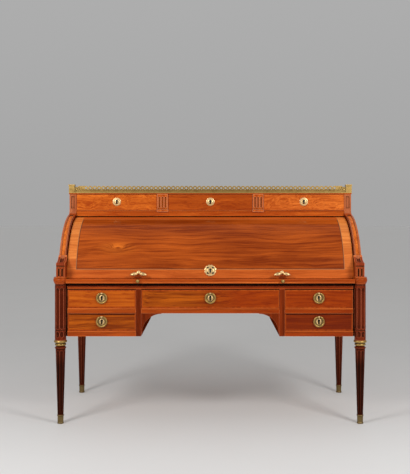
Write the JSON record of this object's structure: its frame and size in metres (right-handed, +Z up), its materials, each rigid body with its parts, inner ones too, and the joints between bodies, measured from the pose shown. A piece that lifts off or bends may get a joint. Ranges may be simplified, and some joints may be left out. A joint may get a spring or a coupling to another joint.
{
  "type": "cylinder desk",
  "caption": "Writing desk on fluted tapering legs: a rigid quarter-cylinder front turns up over a pull-out leathered slide, with drawers above and below and a pierced brass gallery",
  "frame": {"origin": "middle of the footprint, on the floor", "axes": "+X along the desk to the sitter's right, +Y from the sitter to the back, +Z up"},
  "size_m": [1.6238, 0.777, 1.244],
  "materials": {
    "mahogany": "french polish",
    "crossband": "french polish",
    "oak": "waxed",
    "brass": "polished, aged",
    "iron": "dark forged",
    "leather": "aged"
  },
  "bodies": {
    "carcass": {"front_leg_left": "mahogany", "front_leg_right": "mahogany", "back_leg_left": "mahogany", "back_leg_right": "mahogany", "leg_collars": "brass", "leg_sabots": "brass", "lower_left_side": "mahogany", "lower_right_side": "mahogany", "lower_back_panels": "mahogany", "pedestal_inner_sides": "mahogany", "pedestal_floors": "oak", "front_rails": "mahogany", "front_stiles": "mahogany", "kneehole_brackets": "mahogany", "drawer_runners": "oak", "table_bed": "oak", "table_moulding": "mahogany", "upper_left_side": "mahogany", "upper_right_side": "mahogany", "corner_consoles": "mahogany", "upper_back_panel": "oak", "upper_case_floor": "mahogany", "triglyph_dividers": "mahogany", "top_board": "mahogany", "gallery": "brass", "pivot_bushes": "brass", "interior_case": "mahogany"},
    "cylinder": {"cylinder_panel": "mahogany", "cylinder_field": "mahogany", "cylinder_crossbands": "crossband", "cylinder_end_bands": "mahogany", "cylinder_arms": "iron", "cylinder_handles": "brass", "cylinder_fittings": "brass"},
    "slide": {"writing_slide": "mahogany", "writing_leather": "leather", "slide_knobs": "brass"},
    "upper_left": {"upper_left_drawer": "mahogany", "upper_left_drawer_lock": "brass"},
    "upper_middle": {"upper_middle_drawer": "mahogany", "upper_middle_drawer_lock": "brass"},
    "upper_right": {"upper_right_drawer": "mahogany", "upper_right_drawer_lock": "brass"},
    "centre": {"centre_drawer": "mahogany", "centre_drawer_lock": "brass"},
    "centre_pull": {"centre_drawer_ring": "brass"},
    "left_top": {"left_top_drawer": "mahogany", "left_top_drawer_lock": "brass"},
    "left_top_pull": {"left_top_drawer_ring": "brass"},
    "left_bottom": {"left_bottom_drawer": "mahogany", "left_bottom_drawer_lock": "brass"},
    "left_bottom_pull": {"left_bottom_drawer_ring": "brass"},
    "right_top": {"right_top_drawer": "mahogany", "right_top_drawer_lock": "brass"},
    "right_top_pull": {"right_top_drawer_ring": "brass"},
    "right_bottom": {"right_bottom_drawer": "mahogany", "right_bottom_drawer_lock": "brass"},
    "right_bottom_pull": {"right_bottom_drawer_ring": "brass"},
    "left_inner": {"left_inner_drawer": "mahogany"},
    "right_inner": {"right_inner_drawer": "mahogany"}
  },
  "joints": [
    {"name": "cylinder_turn", "type": "hinge", "parent": "carcass", "child": "cylinder", "pos_m": [0, 0.039, 0.712], "axis": [-1, 0, 0], "range_deg": [0, 64]},
    {"name": "slide_out", "type": "slide", "parent": "carcass", "child": "slide", "axis": [0, -1, 0], "range_m": [0, 0.26]},
    {"name": "upper_left_out", "type": "slide", "parent": "carcass", "child": "upper_left", "axis": [0, -1, 0], "range_m": [0, 0.22]},
    {"name": "upper_middle_out", "type": "slide", "parent": "carcass", "child": "upper_middle", "axis": [0, -1, 0], "range_m": [0, 0.22]},
    {"name": "upper_right_out", "type": "slide", "parent": "carcass", "child": "upper_right", "axis": [0, -1, 0], "range_m": [0, 0.22]},
    {"name": "centre_out", "type": "slide", "parent": "carcass", "child": "centre", "axis": [0, -1, 0], "range_m": [0, 0.4]},
    {"name": "centre_pull_swing", "type": "hinge", "parent": "centre", "child": "centre_pull", "pos_m": [0, -0.3455, 0.6722], "axis": [-1, 0, 0], "range_deg": [0, 90]},
    {"name": "left_top_out", "type": "slide", "parent": "carcass", "child": "left_top", "axis": [0, -1, 0], "range_m": [0, 0.4]},
    {"name": "left_top_pull_swing", "type": "hinge", "parent": "left_top", "child": "left_top_pull", "pos_m": [-0.5615, -0.3455, 0.6722], "axis": [-1, 0, 0], "range_deg": [0, 90]},
    {"name": "left_bottom_out", "type": "slide", "parent": "carcass", "child": "left_bottom", "axis": [0, -1, 0], "range_m": [0, 0.4]},
    {"name": "left_bottom_pull_swing", "type": "hinge", "parent": "left_bottom", "child": "left_bottom_pull", "pos_m": [-0.5615, -0.3455, 0.5502], "axis": [-1, 0, 0], "range_deg": [0, 90]},
    {"name": "right_top_out", "type": "slide", "parent": "carcass", "child": "right_top", "axis": [0, -1, 0], "range_m": [0, 0.4]},
    {"name": "right_top_pull_swing", "type": "hinge", "parent": "right_top", "child": "right_top_pull", "pos_m": [0.5615, -0.3455, 0.6722], "axis": [-1, 0, 0], "range_deg": [0, 90]},
    {"name": "right_bottom_out", "type": "slide", "parent": "carcass", "child": "right_bottom", "axis": [0, -1, 0], "range_m": [0, 0.4]},
    {"name": "right_bottom_pull_swing", "type": "hinge", "parent": "right_bottom", "child": "right_bottom_pull", "pos_m": [0.5615, -0.3455, 0.5502], "axis": [-1, 0, 0], "range_deg": [0, 90]},
    {"name": "left_inner_out", "type": "slide", "parent": "carcass", "child": "left_inner", "axis": [0, -1, 0], "range_m": [0, 0.12]},
    {"name": "right_inner_out", "type": "slide", "parent": "carcass", "child": "right_inner", "axis": [0, -1, 0], "range_m": [0, 0.12]}
  ]
}
